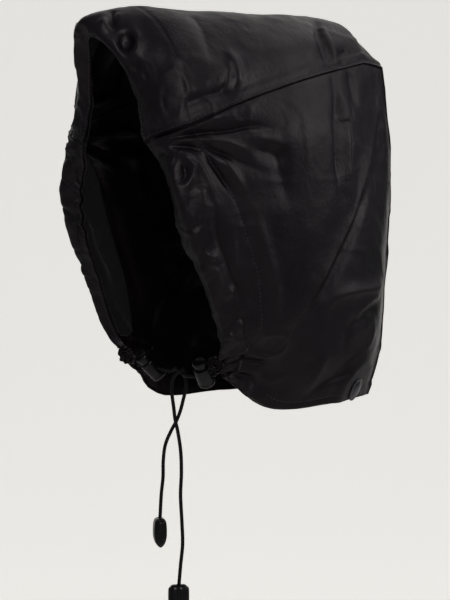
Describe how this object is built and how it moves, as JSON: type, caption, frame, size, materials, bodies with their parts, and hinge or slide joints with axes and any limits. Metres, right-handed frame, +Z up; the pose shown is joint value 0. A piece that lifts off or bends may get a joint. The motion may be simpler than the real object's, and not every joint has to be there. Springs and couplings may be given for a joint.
{
  "type": "detachable hood",
  "caption": "Detachable soft hood with a drawcord-gathered face edge, spring cord locks, clamped cord ends and press studs at the neck hem.",
  "frame": {"origin": "middle of the crown's inner surface, above the middle of the head that wears the hood", "axes": "+Z up along the worn hood, -Y out of the face opening, +X to the wearer's left"},
  "size_m": [0.2044, 0.3057, 0.5051],
  "materials": {
    "waxed_cotton": "waxed, soft satin sheen",
    "cotton_inside": "matt woven",
    "moulded_nylon": "fine moulded texture",
    "braided_cord": "braided",
    "gunmetal": "dark plated, satin"
  },
  "bodies": {
    "hood": {"crown_panel": "waxed_cotton", "side_panel_left": "waxed_cotton", "side_panel_right": "waxed_cotton", "face_facing": "cotton_inside", "stud_cap_left": "gunmetal", "stud_cap_right": "gunmetal", "stud_socket_left": "gunmetal", "stud_socket_right": "gunmetal", "lock_body_left": "moulded_nylon", "lock_body_right": "moulded_nylon", "cord_left": "braided_cord", "cord_right": "braided_cord", "cord_end_left_a": "moulded_nylon", "cord_end_left_b": "moulded_nylon", "cord_end_right_a": "moulded_nylon", "cord_end_right_b": "moulded_nylon"},
    "button_left": {"lock_button_left": "moulded_nylon"},
    "button_right": {"lock_button_right": "moulded_nylon"}
  },
  "joints": [
    {"name": "lock_left_press", "type": "slide", "parent": "hood", "child": "button_left", "axis": [-0.2507, 0.5416, -0.8024], "range_m": [0, 0.004], "stiffness_N_per_m": 300, "springref_m": -0.001},
    {"name": "lock_right_press", "type": "slide", "parent": "hood", "child": "button_right", "axis": [0.1994, 0.6781, -0.7074], "range_m": [0, 0.004], "stiffness_N_per_m": 300, "springref_m": -0.001}
  ]
}
